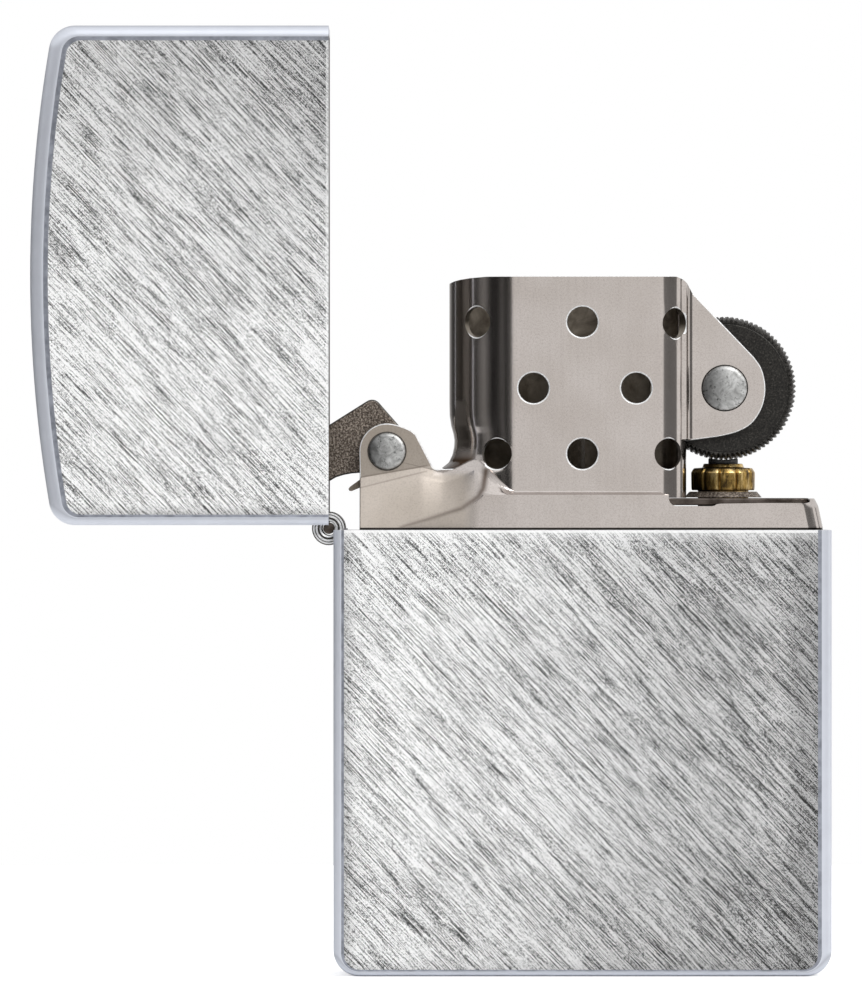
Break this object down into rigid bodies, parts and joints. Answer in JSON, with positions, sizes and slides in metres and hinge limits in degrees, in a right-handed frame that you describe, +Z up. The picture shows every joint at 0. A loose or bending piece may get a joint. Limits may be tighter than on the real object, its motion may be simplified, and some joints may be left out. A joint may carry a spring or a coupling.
{
  "type": "flip-top petrol lighter",
  "caption": "Pocket petrol lighter with a hinged flip lid standing open, a lift-out insert, a windscreen, a spark wheel and a snap cam.",
  "frame": {"origin": "centre of the case's flat base", "axes": "+Z up from the base, +X from the hinge side across the wide face, +Y from the front to the back"},
  "size_m": [0.0615, 0.013, 0.0729],
  "materials": {
    "case_chrome": "brushed on the diagonal on the flat faces, satin on the edges",
    "hinge_steel": "bright plated",
    "insert_steel": "polished stainless sheet",
    "spring_steel": "plain spring steel",
    "rivet_steel": "plated, slightly stained heads",
    "blackened_steel": "blackened, grainy",
    "wheel_steel": "hardened and blackened, toothed rim",
    "brass": "turned, slightly tarnished",
    "ferrocerium": "sintered grey rod",
    "wick_cotton": "braided cotton",
    "cotton": "loose rayon wadding",
    "felt": "dense wool felt"
  },
  "bodies": {
    "case": {"case_shell": "case_chrome", "hinge_leaf_case": "hinge_steel", "hinge_pin": "hinge_steel"},
    "lid": {"lid_shell": "case_chrome", "hinge_leaf_lid": "hinge_steel"},
    "insert": {"insert_shell": "insert_steel", "top_deck": "insert_steel", "cam_spring": "spring_steel", "cam_rivet": "rivet_steel", "wheel_rivet": "rivet_steel", "flint_tube": "brass", "flint_tube_washer": "blackened_steel", "wick": "wick_cotton", "wick_eyelet": "brass", "packing_ball_1": "cotton", "packing_ball_2": "cotton", "packing_ball_3": "cotton", "packing_ball_4": "cotton", "packing_ball_5": "cotton", "felt_pad": "felt", "flint_spring": "spring_steel"},
    "cam": {"lid_cam": "blackened_steel"},
    "wheel": {"spark_wheel": "wheel_steel"},
    "flint_stack": {"flint": "ferrocerium", "flint_plunger": "brass"},
    "screw": {"flint_screw": "brass"}
  },
  "joints": [
    {"name": "lid_hinge", "type": "hinge", "parent": "case", "child": "lid", "pos_m": [-0.01947, 0, 0.03432], "axis": [0, -1, 0], "range_deg": [-90, 10]},
    {"name": "insert_lift", "type": "slide", "parent": "case", "child": "insert", "axis": [0, 0, 1], "range_m": [0, 0.029]},
    {"name": "cam_pivot", "type": "hinge", "parent": "insert", "child": "cam", "pos_m": [-0.015, 0, 0.04025], "axis": [0, -1, 0], "range_deg": [-84, 9.5]},
    {"name": "wheel_spin", "type": "hinge", "parent": "insert", "child": "wheel", "pos_m": [0.01095, 0, 0.0451], "axis": [0, 1, 0], "continuous": true},
    {"name": "flint_feed", "type": "slide", "parent": "insert", "child": "flint_stack", "axis": [0, 0, 1], "range_m": [-0.0015, 0], "stiffness_N_per_m": 200, "springref_m": 0.002, "deforming": ["flint_spring"]},
    {"name": "flint_screw_turn", "type": "hinge", "parent": "insert", "child": "screw", "pos_m": [0.0109, 0, 0.0016], "axis": [0, 0, 1], "continuous": true}
  ],
  "couplings": [
    {"joint": "cam_pivot", "follows": "lid_hinge", "ratio": 0.92}
  ]
}
